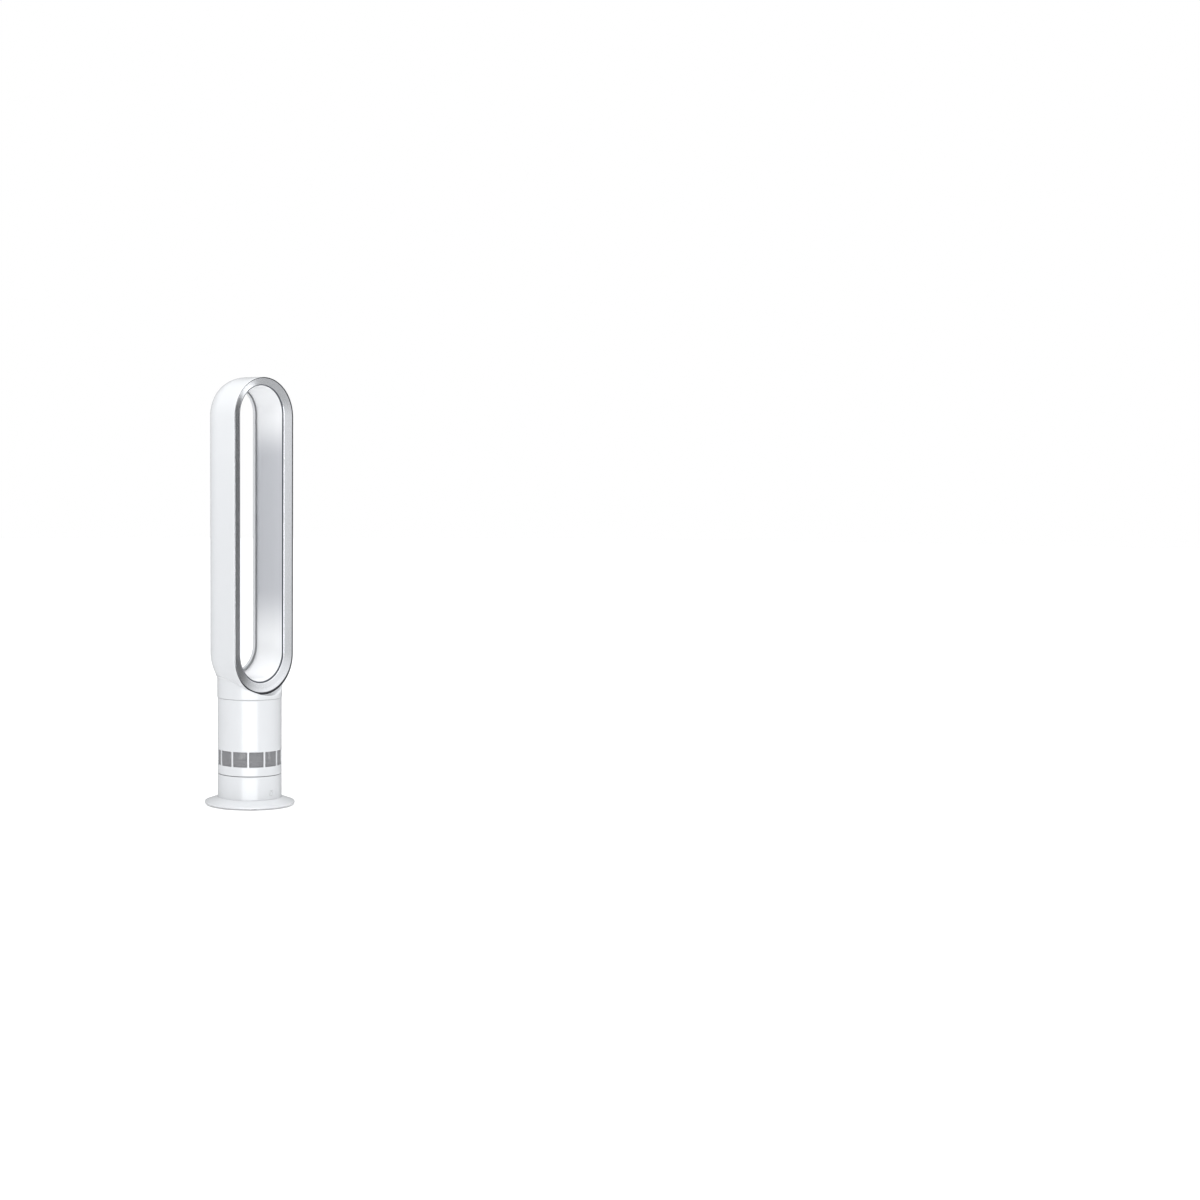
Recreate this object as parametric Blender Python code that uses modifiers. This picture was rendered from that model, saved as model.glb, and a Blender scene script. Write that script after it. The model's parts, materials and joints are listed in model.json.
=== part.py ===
"""Bladeless tower fan: a loop amplifier on a cylindrical body that swings on a round base.

Frame: origin on the floor at the centre of the base, +Z up, front towards -Y. Metres.
Driving dimensions come first, then helpers, then one function for each group of parts.
"""
import math

import bmesh
import bpy
from mathutils import Matrix, Vector

# ---- driving dimensions ----
HEIGHT = 1.007              # floor to the top of the loop
GAP = 0.0003                # clearance between pieces that touch
SNUG = 0.0006               # radial clearance of a round piece inside a round shell
WALL = 0.0022               # moulded shell thickness
BASE_R = 0.1065             # base plate radius
BODY_R = 0.0757             # cylinder radius, from base to neck
PLATE_BOTTOM = 0.0023       # the base stands this far off the floor, on its feet
RIM_TOP = 0.0083            # top of the base plate's rim
DOME_TOP = 0.0182           # where the base plate meets the cylinder
DECK_Z = 0.0130             # sunken deck under the lower housing
SEAM_LOW_Z = 0.0742         # seam between lower housing and body casing
SEAM_HIGH_Z = 0.2547        # seam between body casing and neck
SEAM = 0.0008               # width of both seams
WINDOWS = 12                # inlet windows round the body casing
WINDOW_Z = (0.0962, 0.1318)
WINDOW_RIB = 0.0043
BUTTON_R = 0.0060
BUTTON_Z = 0.0340
LOOP_W = 0.0931             # half-width of the loop
LOOP_BOTTOM = 0.2620        # lowest point of the loop's outline
LOOP_FRONT = -0.0503        # front edge of the loop
LOOP_SHOULDER = 0.0080      # the outer wall is flat from the front edge to here
LOOP_REAR = 0.0580          # rear tip of the loop
RING_INNER_W = 0.0671       # half-width at the front ring's inner edge
RING_INNER_Y = -0.0395
MOUTH_Y = 0.0490            # the air slot opens here
MOUTH_W = 0.0626            # half-width at the lip of the slot
THROAT_W = 0.0638           # narrowest half-width of the air-guiding surface
THROAT_Y = 0.0260
REAR_W = 0.0620              # the curved rear wall ends at this half-width
TOP_RATE = 0.731            # how fast an inner outline sinks at the top, per unit of inset
FRONT_RATE = 1.18           # the same at the bottom, at the front
REAR_RATE = 1.535           # and at the rear
TEETH_GEAR = 40             # full count of the driven gear's pitch circle
TEETH_SECTOR = 14
TEETH_PINION = 12
MODULE = 0.0015
TOOTH_THINNING = 0.00018    # per flank, for running clearance
BLADES = 9

PITCH_GEAR = TEETH_GEAR * MODULE / 2
PITCH_PINION = TEETH_PINION * MODULE / 2
PINION_Y = PITCH_GEAR + PITCH_PINION + 0.0001
FINE = 36                   # steps round a large turned shell
MEDIUM = 24                 # steps round a large inner piece
COARSE = 18                 # steps round a small turned piece
ARC_STEPS = 12              # steps in each half circle of the loop's outline

WHITE = ((0.86, 0.87, 0.88), 0.32, 0.0)
SILVER = ((0.62, 0.63, 0.65), 0.30, 0.6)
LIGHT_SILVER = ((0.72, 0.74, 0.77), 0.25, 0.3)
DARK_PLASTIC = ((0.10, 0.10, 0.11), 0.55, 0.0)
GREY_PLASTIC = ((0.35, 0.36, 0.38), 0.50, 0.0)
RUBBER = ((0.03, 0.03, 0.03), 0.85, 0.0)
FOAM = ((0.06, 0.06, 0.065), 0.95, 0.0)
STEEL = ((0.55, 0.56, 0.57), 0.35, 1.0)
COPPER = ((0.72, 0.38, 0.22), 0.35, 1.0)
ACETAL = ((0.80, 0.78, 0.72), 0.45, 0.0)
BOARD = ((0.03, 0.20, 0.08), 0.50, 0.0)
MESH_GREY = ((0.40, 0.41, 0.43), 0.45, 0.5)


# ---- helpers ----
def clear_scene():
    for item in list(bpy.data.objects):
        bpy.data.objects.remove(item, do_unlink=True)


def new_collection(name):
    group = bpy.data.collections.new(name)
    bpy.context.scene.collection.children.link(group)
    return group


def material(name, look):
    colour, roughness, metallic = look
    made = bpy.data.materials.new(name + "_material")
    made.use_nodes = True
    shader = made.node_tree.nodes["Principled BSDF"]
    shader.inputs["Base Color"].default_value = (*colour, 1.0)
    shader.inputs["Roughness"].default_value = roughness
    shader.inputs["Metallic"].default_value = metallic
    return made


def link(name, mesh, look):
    """A named part in the fan's collection; without a look, a cutter."""
    item = bpy.data.objects.new(name, mesh)
    if look:
        PARTS.objects.link(item)
        mesh.materials.append(material(name, look))
    else:
        CUTTERS.objects.link(item)
        item.hide_render = True
        item.display_type = "WIRE"
    return item


def bake(item, weld=0.0):
    """Turn the evaluated object into its own mesh, shaded smooth between sharp edges."""
    bpy.context.view_layer.update()
    graph = bpy.context.evaluated_depsgraph_get()
    mesh = bpy.data.meshes.new_from_object(item.evaluated_get(graph))
    item.modifiers.clear()
    if weld:
        work = bmesh.new()
        work.from_mesh(mesh)
        bmesh.ops.remove_doubles(work, verts=work.verts, dist=weld)
        work.to_mesh(mesh)
        work.free()
    item.data = mesh
    mesh.shade_smooth()
    mesh.set_sharp_from_angle(angle=math.radians(35))
    return item


def signed_area(points):
    following = points[1:] + points[:1]
    return sum(a[0] * b[1] - b[0] * a[1] for a, b in zip(points, following)) / 2


def turned(name, profile, look, steps=COARSE):
    """Turn a closed outline of (radius, height) points; points at radius 0 close on the axis."""
    points = list(profile)
    if signed_area(points) > 0:
        points.reverse()
    solid = any(radius == 0 for radius, _ in points)
    if solid:
        while not (points[0][0] == 0 and points[-1][0] == 0):
            points.append(points.pop(0))
    mesh = bpy.data.meshes.new(name)
    edges = [(i, i + 1) for i in range(len(points) - 1)]
    if not solid:
        edges.append((len(points) - 1, 0))
    mesh.from_pydata([(radius, 0.0, height) for radius, height in points], edges, [])
    item = link(name, mesh, look)
    screw = item.modifiers.new("turn", "SCREW")
    screw.axis = "Z"
    screw.steps = steps
    screw.render_steps = steps
    screw.use_merge_vertices = True
    screw.merge_threshold = 1e-5
    return bake(item)


def ring(name, inner, outer, low, high, look, steps=COARSE):
    return turned(name, [(inner, high), (outer, high), (outer, low), (inner, low)], look, steps)


def rod(name, radius, low, high, look, steps=COARSE):
    return turned(name, [(0, high), (radius, high), (radius, low), (0, low)], look, steps)


def box(name, centre, size, look):
    mesh = bpy.data.meshes.new(name)
    work = bmesh.new()
    bmesh.ops.create_cube(work, size=1.0)
    bmesh.ops.transform(work, matrix=Matrix.Diagonal((*size, 1.0)), verts=work.verts)
    bmesh.ops.translate(work, vec=centre, verts=work.verts)
    work.to_mesh(mesh)
    work.free()
    return link(name, mesh, look)


def move(item, place, axis_y=False):
    """Shift a part; with axis_y, first lay its own Z axis along world +Y."""
    matrix = Matrix.Translation(place)
    if axis_y:
        matrix = matrix @ Matrix.Rotation(math.radians(-90), 4, "X")
    item.data.transform(matrix)
    return item


def boolean(target, tool, operation):
    change = target.modifiers.new(operation.lower(), "BOOLEAN")
    change.operation = operation
    change.solver = "EXACT"
    change.object = tool
    return bake(target)


def cut(target, *tools):
    for tool in tools:
        boolean(target, tool, "DIFFERENCE")
    return target


def join(target, *tools):
    for tool in tools:
        boolean(target, tool, "UNION")
    return target


def merged(name, items):
    """Gather cutters that don't touch each other into one cutter."""
    work = bmesh.new()
    for item in items:
        work.from_mesh(item.data)
        bpy.data.objects.remove(item, do_unlink=True)
    mesh = bpy.data.meshes.new(name)
    work.to_mesh(mesh)
    work.free()
    return link(name, mesh, None)


def polar(radius, degrees, height=0.0):
    angle = math.radians(degrees)
    return Vector((radius * math.cos(angle), radius * math.sin(angle), height))


def copies(name, pattern, count, radius, first=0.0):
    """The same cutter at equal angles round the axis, as one object."""
    made = []
    for k in range(count):
        item = link(f"{name}_{k}", pattern.data.copy(), None)
        item.data.transform(Matrix.Translation(polar(radius, first + 360 * k / count)))
        made.append(item)
    bpy.data.objects.remove(pattern, do_unlink=True)
    return merged(name, made)


def plate(name, outlines, low, high, look):
    """A flat piece from closed outlines of (x, y) points; inner outlines are holes."""
    curve = bpy.data.curves.new(name, "CURVE")
    curve.dimensions = "2D"
    curve.fill_mode = "BOTH"
    curve.extrude = (high - low) / 2
    for outline in outlines:
        spline = curve.splines.new("POLY")
        spline.points.add(len(outline) - 1)
        for point, (x, y) in zip(spline.points, outline):
            point.co = (x, y, 0, 1)
        spline.use_cyclic_u = True
    guide = bpy.data.objects.new(name + "_outline", curve)
    CUTTERS.objects.link(guide)
    bake_from = guide.evaluated_get(bpy.context.evaluated_depsgraph_get())
    mesh = bpy.data.meshes.new_from_object(bake_from)
    bpy.data.objects.remove(guide, do_unlink=True)
    item = link(name, mesh, look)
    item.data.transform(Matrix.Translation((0, 0, (low + high) / 2)))
    return bake(item, weld=1e-6)


def circle(radius, steps=COARSE, centre=(0.0, 0.0)):
    turn = 2 * math.pi / steps
    return [(centre[0] + radius * math.cos(turn * k), centre[1] + radius * math.sin(turn * k))
            for k in range(steps)]


# ---- the loop's outline ----
def stadium(half_width, top, bottom, depth):
    """Upright slot outline at one depth: straight sides, half circles above and below."""
    points = []
    for centre, start in ((top - half_width, 0), (bottom + half_width, 180)):
        for k in range(ARC_STEPS + 1):
            angle = math.radians(start + 180 * k / ARC_STEPS)
            points.append((half_width * math.cos(angle), depth,
                           centre + half_width * math.sin(angle)))
    return points


def bottom_rate(depth):
    """How fast inner outlines rise at the bottom: more at the rear than at the front."""
    share = (depth - RING_INNER_Y) / (MOUTH_Y - RING_INNER_Y)
    return FRONT_RATE + (REAR_RATE - FRONT_RATE) * min(1.0, max(0.0, share))


def outline(half_width, depth, grow=0.0):
    inset = LOOP_W - half_width
    low = LOOP_BOTTOM + inset * bottom_rate(depth)
    return stadium(half_width + grow, HEIGHT - inset * TOP_RATE + grow, low - grow, depth)


def shell_point(turn, thickness=0.0):
    """Point on the loop's curved rear wall: a quarter ellipse, from the shoulder inwards."""
    reach = LOOP_W - REAR_W - thickness
    rise = LOOP_REAR - LOOP_SHOULDER - thickness
    angle = math.radians(turn)
    return REAR_W + reach * math.cos(angle), LOOP_SHOULDER + rise * math.sin(angle)


def loft(name, section, look, closed=True, grow=0.0):
    """Skin the outlines of (half_width, depth) section points, closed on itself or capped."""
    rows = [outline(half_width, depth, grow) for half_width, depth in section]
    if signed_area(section) > 0 or not closed:
        rows.reverse()
    count = len(rows[0])
    work = bmesh.new()
    verts = [[work.verts.new(point) for point in row] for row in rows]
    spans = len(rows) if closed else len(rows) - 1
    for i in range(spans):
        near, far = verts[i], verts[(i + 1) % len(rows)]
        for k in range(count):
            n = (k + 1) % count
            work.faces.new((near[k], near[n], far[n], far[k]))
    if not closed:
        work.faces.new(list(reversed(verts[0])))
        work.faces.new(verts[-1])
    bmesh.ops.recalc_face_normals(work, faces=work.faces)
    mesh = bpy.data.meshes.new(name)
    work.to_mesh(mesh)
    work.free()
    return bake(link(name, mesh, look))


def loop_envelope(name, grow):
    """The space the loop takes, run out past the body to the front and the rear."""
    section = [(LOOP_W, -0.100), (LOOP_W, LOOP_SHOULDER)]
    section += [shell_point(turn) for turn in (18, 36, 54, 72)]
    section += [(section[-1][0], 0.100)]
    return loft(name, section, None, closed=False, grow=grow)


def air_duct(name):
    """Oval passage from the neck up into the loop."""
    duct = rod(name, 0.038, 0.2490, 0.2890, None)
    duct.data.transform(Matrix.Diagonal((1.25, 1.0, 1.0, 1.0)))
    return duct


def make_loop():
    skin = [(LOOP_W, LOOP_FRONT), (LOOP_W, LOOP_SHOULDER)]
    skin += [shell_point(turn) for turn in (18, 36, 54, 72, 84)]
    nose = [(0.0638, 0.0571), (0.0628, 0.0553), (MOUTH_W, 0.0530), (MOUTH_W, MOUTH_Y)]
    inside = [(MOUTH_W + 0.0012, MOUTH_Y), (0.0640, 0.0528), (0.0656, 0.0552)]
    inside += [shell_point(turn, WALL) for turn in (75, 54, 36, 18)]
    inside += [(LOOP_W - WALL, LOOP_SHOULDER), (LOOP_W - WALL, LOOP_FRONT)]
    casing = loft("loop_outer_casing", skin + nose + inside, WHITE)
    cut(casing, air_duct("casing_duct_cut"))

    thickness = 0.0018
    front = RING_INNER_Y + thickness + GAP
    guide = [(RING_INNER_W, front), (0.0656, -0.0150), (0.0643, 0.0080),
             (THROAT_W, THROAT_Y), (0.0646, 0.0380), (0.0658, 0.0445), (0.0671, 0.0490)]
    back = [(width + 0.0019, depth) for width, depth in reversed(guide)]
    loft("loop_inner_casing", guide + back, LIGHT_SILVER)

    outer = LOOP_W - WALL - 0.0005
    slope = [(outer, LOOP_FRONT + 0.0002), ((outer + RING_INNER_W) / 2, -0.0455),
             (RING_INNER_W, RING_INNER_Y)]
    rear = [(width, depth + thickness) for width, depth in reversed(slope)]
    loft("front_ring", slope + rear, SILVER)


def make_neck():
    bottom = SEAM_HIGH_Z + SEAM / 2
    neck = rod("neck_shell", BODY_R, bottom, 0.334, WHITE, FINE)
    hollow = rod("neck_hollow", BODY_R - WALL, bottom - 0.010, 0.344, None, FINE)
    cut(hollow, loop_envelope("neck_roof_cut", 0.0005 + WALL))
    cut(neck, loop_envelope("neck_scoop_cut", 0.0005), hollow, air_duct("neck_duct_cut"))


# ---- base, fixed to the floor ----
def dome_height(radius):
    share = (0.1035 - radius) / (0.1035 - BODY_R)
    return RIM_TOP + (DOME_TOP - RIM_TOP) * share


def make_base():
    lip = BODY_R + 0.0005
    under = 0.0022
    profile = [(lip, DOME_TOP), (0.0900, dome_height(0.0900)), (0.1030, RIM_TOP + 0.0002),
               (0.1060, 0.0070), (BASE_R, 0.0050), (0.1058, 0.0029), (0.1048, PLATE_BOTTOM),
               (0.1022, PLATE_BOTTOM), (0.1022, 0.0062),
               (0.0900, dome_height(0.0900) - under), (0.0786, dome_height(0.0786) - under),
               (0.0786, DECK_Z - under), (0.0120, DECK_Z - under), (0.0120, DECK_Z),
               (lip, DECK_Z)]
    base = turned("base_plate", profile, WHITE, FINE)
    cover = ring("base_bottom_cover", 0.0080, 0.1019, PLATE_BOTTOM, 0.0053, DARK_PLASTIC, FINE)
    ballast = ring("ballast_plate", 0.0240, 0.0890, 0.0057, 0.0104, STEEL, MEDIUM)

    bore = copies("screw_bores", rod("bore", 0.0021, -0.001, 0.0150, None, 12), 4, 0.0560, 45)
    head = copies("screw_heads", rod("head", 0.0037, 0.0, 0.0040, None, 12), 4, 0.0560, 45)
    cut(base, bore)
    cut(ballast, bore)
    cut(cover, bore, head)
    for k in range(4):
        screw = turned(f"base_screw_{k + 1}",
                       [(0, 0.0024), (0.0030, 0.0027), (0.0032, 0.0037), (0.00175, 0.0037),
                        (0.00175, 0.0120), (0.0010, 0.0127), (0, 0.0127)], STEEL, 12)
        move(screw, polar(0.0560, 45 + 90 * k))
    for k in range(5):
        foot = turned(f"rubber_foot_{k + 1}",
                      [(0, 0.0020), (0.0088, 0.0020), (0.0088, 0.0006), (0.0082, 0), (0, 0)],
                      RUBBER)
        move(foot, polar(0.0880, 90 + 72 * k))

    notch_width = 0.0084
    gland_cut = box("gland_notch", (0, 0.1020, 0.0030), (notch_width + 2 * GAP, 0.0300, 0.0080), None)
    cut(base, gland_cut)
    cut(cover, gland_cut)
    gland = box("cable_gland", (0, 0.0990, 0.00445), (notch_width, 0.0150, 0.0045), RUBBER)
    lead_hole = rod("lead_hole", 0.0017, -0.02, 0.02, None, 12)
    cut(gland, move(lead_hole, (0, 0.0990, 0.00445), axis_y=True))


def make_lower_housing():
    top = SEAM_LOW_Z - SEAM / 2
    inner = BODY_R - WALL
    profile = [(inner, top), (BODY_R, top), (BODY_R, DECK_Z + GAP), (inner, DECK_Z + GAP),
               (inner, 0.0550), (inner - 0.0040, 0.0580), (inner, 0.0580)]
    housing = turned("lower_housing", profile, WHITE, FINE)
    opening = rod("button_hole", BUTTON_R + 0.0003, -0.02, 0.02, None, MEDIUM)
    cut(housing, move(opening, (0, -BODY_R, BUTTON_Z), axis_y=True))

    button = turned("power_button",
                    [(0, 0.0101), (0.0018, 0.0101), (0.0018, 0.0055), (0.0074, 0.0050),
                     (0.0074, 0.0032), (BUTTON_R, 0.0032), (BUTTON_R, 0.0006), (0.0052, 0.0001),
                     (0, 0.0)], WHITE, MEDIUM)
    move(button, (0, -BODY_R, BUTTON_Z), axis_y=True)
    plunger = rod("switch_plunger", 0.0013, 0.0, 0.0028, DARK_PLASTIC, 12)
    move(plunger, (0, -0.0653, BUTTON_Z), axis_y=True)

    switch = box("tact_switch", (0, -0.0622, BUTTON_Z), (0.0062, 0.0036, 0.0062), DARK_PLASTIC)
    pocket = rod("plunger_pocket", 0.0017, -0.002, 0.0032, None, 12)
    cut(switch, move(pocket, (0, -0.0640, BUTTON_Z), axis_y=True))
    box("control_board", (0, -0.0593, 0.0380), (0.0700, 0.0016, 0.0300), BOARD)


def make_swivel():
    """The bearing that carries the tower, and the motor and gears that swing it."""
    inner = BODY_R - WALL
    turntable = ring("turntable_plate", 0.0120, inner - SNUG, 0.0583, 0.0605, GREY_PLASTIC, FINE)
    turned("pivot_post", [(0.0090, 0.0800), (0.0137, 0.0800), (0.0137, 0.0626), (0.0155, 0.0626),
                          (0.0155, 0.0608), (0.0117, 0.0608), (0.0117, 0.0560), (0.0090, 0.0560)],
           ACETAL, MEDIUM)
    ring("glide_ring", 0.0600, 0.0680, 0.0608, 0.0620, ACETAL, FINE)
    ring("pivot_clip", 0.0140, 0.0200, 0.0726, 0.0748, STEEL, MEDIUM)

    rim = inner - SNUG
    turned("swivel_plate",
           [(rim - 0.0020, 0.0800), (rim, 0.0800), (rim, 0.0660), (0.0682, 0.0623),
            (0.0600, 0.0623), (0.0600, 0.0700), (0.0141, 0.0700), (0.0141, 0.0723),
            (rim - 0.0020, 0.0723)], GREY_PLASTIC, FINE)

    centre_z = 0.0672
    half = 0.0024
    plate("driven_gear", [sector_outline()], centre_z - half, centre_z + half, ACETAL)
    pinion = plate("oscillation_pinion", [pinion_outline()], centre_z - half, centre_z + half, ACETAL)
    stub = rod("pinion_shaft", 0.0024, 0.0480, 0.0660, None, 16)
    join(pinion, stub)
    move(pinion, (0, PINION_Y, 0))

    passage = rod("pinion_passage", 0.0060, 0.0500, 0.0640, None, 20)
    cut(turntable, move(passage, (0, PINION_Y, 0)))
    motor = turned("oscillation_motor",
                   [(0.0027, 0.0530), (0.0065, 0.0530), (0.0065, 0.0515), (0.0220, 0.0515),
                    (0.0230, 0.0505), (0.0230, 0.0360), (0.0220, 0.0350), (0, 0.0350),
                    (0, 0.0450), (0.0027, 0.0450)], STEEL)
    move(motor, (0, PINION_Y, 0))
    ears = [(-0.034, 0.026), (0.034, 0.026), (0.034, 0.048), (-0.034, 0.048)]
    bracket = plate("motor_bracket", [ears, circle(0.0070, 20, (0, PINION_Y))],
                    0.0534, 0.0550, GREY_PLASTIC)
    posts = [move(rod(f"bracket_post_{k}", 0.0030, 0.0545, 0.0580, None, 12), (x, 0.037, 0))
             for k, x in enumerate((-0.029, 0.029))]
    join(bracket, merged("bracket_posts", posts))


def flank(teeth, root, tip, thinning):
    """One tooth's half outline as (radius, half angle), an involute from root to tip."""
    pressure = math.radians(20)
    pitch = teeth * MODULE / 2
    base = pitch * math.cos(pressure)
    at_pitch = math.pi / (2 * teeth) + math.tan(pressure) - pressure - thinning / pitch
    points = []
    for radius in (root, max(base, root), pitch, tip):
        roll = math.acos(min(1.0, base / radius)) if radius > base else 0.0
        points.append((radius, at_pitch - (math.tan(roll) - roll)))
    return points


def teeth_outline(teeth, used, start, root, tip):
    """Outline of a run of teeth, turning anticlockwise from the start angle."""
    half = flank(teeth, root, tip, TOOTH_THINNING)
    points = []
    for k in range(used):
        middle = math.radians(start) + 2 * math.pi * k / teeth
        for radius, angle in half:
            points.append((radius * math.cos(middle - angle), radius * math.sin(middle - angle)))
        for radius, angle in reversed(half):
            points.append((radius * math.cos(middle + angle), radius * math.sin(middle + angle)))
    return points


def sector_outline():
    """Gear sector round the pivot, its teeth centred on the pinion, which sits towards +Y."""
    step = 360 / TEETH_GEAR
    start = 90 - step * (TEETH_SECTOR - 1) / 2
    tip = PITCH_GEAR + 0.8 * MODULE
    root = PITCH_GEAR - 1.15 * MODULE
    points = teeth_outline(TEETH_GEAR, TEETH_SECTOR, start, root, tip)
    bore = [tuple(polar(0.0165, angle).xy) for angle in range(160, 19, -14)]
    return points + bore


def pinion_outline():
    """Pinion whose tooth space faces the gear's middle tooth, or tooth faces its middle space."""
    step = 360 / TEETH_PINION
    tooth_at_middle = TEETH_SECTOR % 2 == 1
    start = -90 + (step / 2 if tooth_at_middle else 0)
    tip = PITCH_PINION + 0.8 * MODULE
    root = PITCH_PINION - 1.15 * MODULE
    return teeth_outline(TEETH_PINION, TEETH_PINION, start, root, tip)


# ---- tower: body casing and what it holds ----
def make_body_casing():
    inner = BODY_R - WALL
    low = SEAM_LOW_Z + SEAM / 2
    high = SEAM_HIGH_Z - SEAM / 2
    casing = ring("body_casing", inner, BODY_R, low, high, WHITE, FINE)
    middle = (WINDOW_Z[0] + WINDOW_Z[1]) / 2
    width = 2 * BODY_R * math.sin(math.pi / WINDOWS) - WINDOW_RIB
    windows = []
    for k in range(WINDOWS):
        window = box(f"window_{k}", (BODY_R, 0, middle), (0.012, width, WINDOW_Z[1] - WINDOW_Z[0]), None)
        window.data.transform(Matrix.Rotation(math.radians(-90 + 360 * k / WINDOWS), 4, "Z"))
        windows.append(window)
    cut(casing, merged("windows", windows))
    ring("inlet_mesh", inner - 0.0015, inner - GAP, WINDOW_Z[0] - 0.005, WINDOW_Z[1] + 0.005,
         MESH_GREY, FINE)
    ring("lower_foam", 0.0240, 0.0680, 0.0752, 0.0860, FOAM, MEDIUM)
    ring("upper_foam", 0.0690, inner - SNUG, 0.1900, 0.2380, FOAM, MEDIUM)
    ring("neck_seal", 0.0700, inner - SNUG, 0.2478, 0.2581, RUBBER, MEDIUM)


def make_air_mover():
    shroud = turned("impeller_housing",
                    [(0.0600, 0.1320), (0.0490, 0.1390), (0.0495, 0.1480), (0.0620, 0.1720),
                     (0.0660, 0.1800), (0.0660, 0.2350), (0.0680, 0.2350), (0.0680, 0.1790),
                     (0.0640, 0.1710), (0.0515, 0.1475), (0.0515, 0.1405), (0.0610, 0.1340)],
                    GREY_PLASTIC, MEDIUM)
    ring("mount_ring", 0.0684, BODY_R - WALL - SNUG, 0.1790, 0.1860, RUBBER, MEDIUM)

    wheel = turned("impeller",
                   [(0.0035, 0.1665), (0.0440, 0.1665), (0.0445, 0.1650), (0.0300, 0.1530),
                    (0.0150, 0.1440), (0.0060, 0.1400), (0.0035, 0.1400)], DARK_PLASTIC)
    join(wheel, blades("impeller_blades"))

    turned("motor_bucket_lower",
           [(0.0075, 0.1720), (0.0380, 0.1720), (0.0460, 0.1770), (0.0470, 0.1860), (0.0450, 0.1860),
            (0.0440, 0.1780), (0.0370, 0.1738), (0.0075, 0.1738)], GREY_PLASTIC)
    turned("motor_bucket_upper",
           [(0.0450, 0.1864), (0.0470, 0.1864), (0.0460, 0.1990), (0.0400, 0.2150), (0.0280, 0.2270),
            (0.0120, 0.2330), (0.0060, 0.2340), (0.0060, 0.2322), (0.0110, 0.2312),
            (0.0270, 0.2253), (0.0384, 0.2140), (0.0441, 0.1985)], GREY_PLASTIC)
    hub = ring("diffuser", 0.0475, 0.0490, 0.1880, 0.2040, GREY_PLASTIC, MEDIUM)
    rim = ring("diffuser_rim", 0.0640, 0.0656, 0.1880, 0.2040, None, MEDIUM)
    join(hub, vanes("diffuser_vanes"), rim)

    rod("motor_shaft", 0.0032, 0.1360, 0.2200, STEEL, 16)
    ring("impeller_nut", 0.0041, 0.0065, 0.1368, 0.1396, STEEL, 6)
    ring("motor_rotor", 0.0035, 0.0130, 0.1860, 0.2040, STEEL)
    ring("motor_stator", 0.0140, 0.0300, 0.1850, 0.2050, COPPER)
    ring("bearing_lower", 0.0035, 0.0080, 0.1745, 0.1795, STEEL)
    ring("bearing_upper", 0.0035, 0.0080, 0.2080, 0.2130, STEEL)
    ring("driver_board", 0.0100, 0.0330, 0.2150, 0.2166, BOARD)


def blades(name):
    """Swept blades that stand on the impeller's cone, joined to it by their sunken roots."""
    made = []
    for k in range(BLADES):
        work = bmesh.new()
        rows = []
        for i in range(5):
            share = i / 4
            turn = 360 * k / BLADES + 58 * share
            root = polar(0.0100 + 0.0330 * share, turn, 0.1418 + 0.0222 * share)
            tip = polar(0.0440 + 0.0120 * share, turn + 6, 0.1418 + 0.0228 * share)
            rows.append((work.verts.new(root), work.verts.new(tip)))
        for near, far in zip(rows, rows[1:]):
            work.faces.new((near[0], near[1], far[1], far[0]))
        mesh = bpy.data.meshes.new(f"blade_{k}")
        work.to_mesh(mesh)
        work.free()
        blade = link(f"blade_{k}", mesh, None)
        thick = blade.modifiers.new("thickness", "SOLIDIFY")
        thick.thickness = 0.0011
        thick.offset = 0
        made.append(bake(blade))
    return merged(name, made)


def vanes(name):
    """Slanted guide vanes between the diffuser's hub and rim."""
    made = []
    for k in range(BLADES):
        vane = box(f"vane_{k}", (0.0565, 0, 0.1960), (0.0160, 0.0012, 0.0150), None)
        lean = Matrix.Translation((0, 0, 0.1960)) @ Matrix.Rotation(math.radians(25), 4, "X")
        vane.data.transform(lean @ Matrix.Translation((0, 0, -0.1960)))
        vane.data.transform(Matrix.Rotation(2 * math.pi * k / BLADES, 4, "Z"))
        made.append(vane)
    return merged(name, made)


clear_scene()
PARTS = new_collection("tower_fan")
CUTTERS = new_collection("cutters")
make_base()
make_lower_housing()
make_swivel()
make_body_casing()
make_air_mover()
make_neck()
make_loop()
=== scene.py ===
"""Looks of the bladeless tower fan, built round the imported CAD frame.

The visible shells are rebuilt as fine meshes in the frame's own places: the loop with its mouth,
the neck that grows out of it, the windowed body, the perforated inlet, the lower housing with its
button, and the base. The inner pieces keep their CAD shape and get their own materials.
"""
import json
import math

import bmesh
import bpy
import numpy as np
from mathutils import Matrix, Vector


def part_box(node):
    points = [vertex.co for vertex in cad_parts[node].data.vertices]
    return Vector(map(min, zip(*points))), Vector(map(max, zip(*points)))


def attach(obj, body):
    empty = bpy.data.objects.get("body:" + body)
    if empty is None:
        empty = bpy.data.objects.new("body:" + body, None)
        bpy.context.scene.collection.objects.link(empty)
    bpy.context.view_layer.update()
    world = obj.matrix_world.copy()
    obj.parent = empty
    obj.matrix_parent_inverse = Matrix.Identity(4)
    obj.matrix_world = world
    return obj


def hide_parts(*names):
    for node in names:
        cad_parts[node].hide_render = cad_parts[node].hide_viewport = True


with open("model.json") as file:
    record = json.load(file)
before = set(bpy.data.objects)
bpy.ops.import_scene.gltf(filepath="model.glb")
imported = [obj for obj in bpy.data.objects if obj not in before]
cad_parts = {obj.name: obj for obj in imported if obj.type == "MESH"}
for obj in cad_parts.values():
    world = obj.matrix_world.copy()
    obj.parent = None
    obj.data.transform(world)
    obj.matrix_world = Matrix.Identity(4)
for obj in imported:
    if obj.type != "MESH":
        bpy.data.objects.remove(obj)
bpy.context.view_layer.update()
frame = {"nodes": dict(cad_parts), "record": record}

# ---- sizes, read from the frame ----
MM = 0.001
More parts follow.
